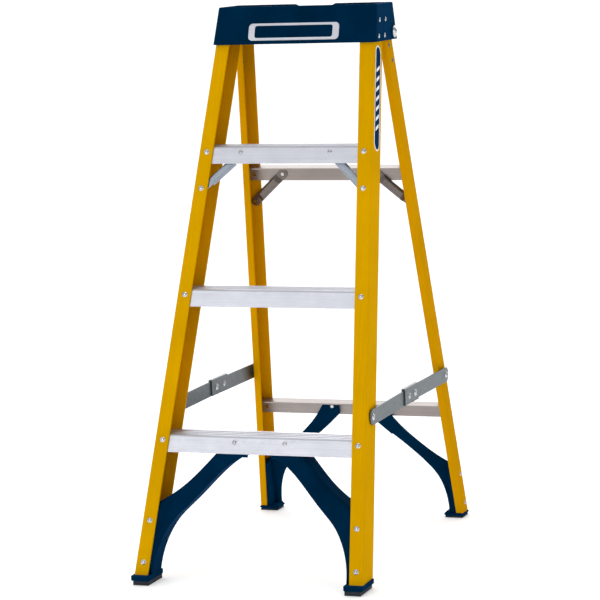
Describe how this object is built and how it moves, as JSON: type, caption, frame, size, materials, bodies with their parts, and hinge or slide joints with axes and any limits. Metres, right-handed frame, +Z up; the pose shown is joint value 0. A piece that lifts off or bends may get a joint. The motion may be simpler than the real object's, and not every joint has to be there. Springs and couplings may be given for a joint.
{
  "type": "step ladder",
  "caption": "Folding step ladder with fibreglass channel rails, ribbed metal treads, a moulded top cap with a tool tray, jointed spreaders and moulded corner braces that end in padded feet.",
  "frame": {"origin": "middle of the open ladder's footprint, on the floor", "axes": "+Z up, +X to the right of someone facing the treads, treads face -Y"},
  "size_m": [0.4952, 0.786, 1.149],
  "materials": {
    "yellow_fibreglass": "satin fibreglass",
    "blue_resin": "fine moulded texture",
    "aluminium": "mill finish with ribs",
    "galvanised_steel": "galvanised",
    "zinc_steel": "zinc plated",
    "pad_rubber": "ribbed",
    "nylon": "smooth",
    "badge_silver": "plain raised frame",
    "badge_blue": "plain, grooved",
    "label_print": "printed ink",
    "label_film": "printed film, plain"
  },
  "bodies": {
    "front_frame": {"top_cap": "blue_resin", "badge_frame": "badge_silver", "badge_field": "badge_blue", "rail_label": "label_film", "rail_label_print": "label_print", "lower_step": "aluminium", "middle_step": "aluminium", "upper_step": "aluminium", "cap_rivets": "zinc_steel", "step_rivets": "zinc_steel", "step_brace_rivets": "zinc_steel", "front_corner_rivets": "zinc_steel", "front_rail_right": "yellow_fibreglass", "upper_step_brace_right": "galvanised_steel", "front_corner_brace_right": "blue_resin", "front_foot_pad_right": "pad_rubber", "pivot_bolt_right": "zinc_steel", "pivot_spacer_right": "nylon", "spreader_front_rivet_right": "zinc_steel", "front_rail_left": "yellow_fibreglass", "upper_step_brace_left": "galvanised_steel", "front_corner_brace_left": "blue_resin", "front_foot_pad_left": "pad_rubber", "pivot_bolt_left": "zinc_steel", "pivot_spacer_left": "nylon", "spreader_front_rivet_left": "zinc_steel"},
    "rear_frame": {"lower_rear_bar": "aluminium", "upper_rear_bar": "aluminium", "hinge_plate_rivets": "zinc_steel", "rear_bar_rivets": "zinc_steel", "rear_brace_rivets": "zinc_steel", "rear_rail_right": "yellow_fibreglass", "rear_knee_brace_right": "galvanised_steel", "rear_corner_brace_right": "blue_resin", "rear_foot_pad_right": "pad_rubber", "hinge_plate_right": "galvanised_steel", "spreader_rear_stud_right": "zinc_steel", "rear_rail_left": "yellow_fibreglass", "rear_knee_brace_left": "galvanised_steel", "rear_corner_brace_left": "blue_resin", "rear_foot_pad_left": "pad_rubber", "hinge_plate_left": "galvanised_steel", "spreader_rear_stud_left": "zinc_steel"},
    "spreader_front_link_right": {"spreader_front_link_right": "galvanised_steel"},
    "spreader_rear_link_right": {"spreader_rear_link_right": "galvanised_steel", "spreader_middle_pivot_right": "zinc_steel", "spreader_fold_rivets_right": "zinc_steel", "spreader_rear_end_rivet_right": "zinc_steel"},
    "spreader_front_link_left": {"spreader_front_link_left": "galvanised_steel"},
    "spreader_rear_link_left": {"spreader_rear_link_left": "galvanised_steel", "spreader_middle_pivot_left": "zinc_steel", "spreader_fold_rivets_left": "zinc_steel", "spreader_rear_end_rivet_left": "zinc_steel"}
  },
  "joints": [
    {"name": "rear_fold", "type": "hinge", "parent": "front_frame", "child": "rear_frame", "pos_m": [0, 0.13093, 1.08796], "axis": [-1, 0, 0], "range_deg": [0, 32]},
    {"name": "spreader_front_right", "type": "hinge", "parent": "front_frame", "child": "spreader_front_link_right", "pos_m": [0.2265, -0.22934, 0.33022], "axis": [1, 0, 0], "range_deg": [0, 77.64]},
    {"name": "spreader_middle_right", "type": "hinge", "parent": "spreader_front_link_right", "child": "spreader_rear_link_right", "pos_m": [0.2265, 0.04866, 0.33235], "axis": [-1, 0, 0], "range_deg": [0, 157.83]},
    {"name": "spreader_front_left", "type": "hinge", "parent": "front_frame", "child": "spreader_front_link_left", "pos_m": [-0.2265, -0.22934, 0.33022], "axis": [1, 0, 0], "range_deg": [0, 63.03]},
    {"name": "spreader_middle_left", "type": "hinge", "parent": "spreader_front_link_left", "child": "spreader_rear_link_left", "pos_m": [-0.2265, 0.06166, 0.33236], "axis": [-1, 0, 0], "range_deg": [0, 160.51]}
  ],
  "couplings": [
    {"joint": "spreader_front_right", "follows": "rear_fold", "ratio": 2.42},
    {"joint": "spreader_middle_right", "follows": "rear_fold", "ratio": 4.9258},
    {"joint": "spreader_front_left", "follows": "rear_fold", "ratio": 1.9634},
    {"joint": "spreader_middle_left", "follows": "rear_fold", "ratio": 5.0097}
  ]
}
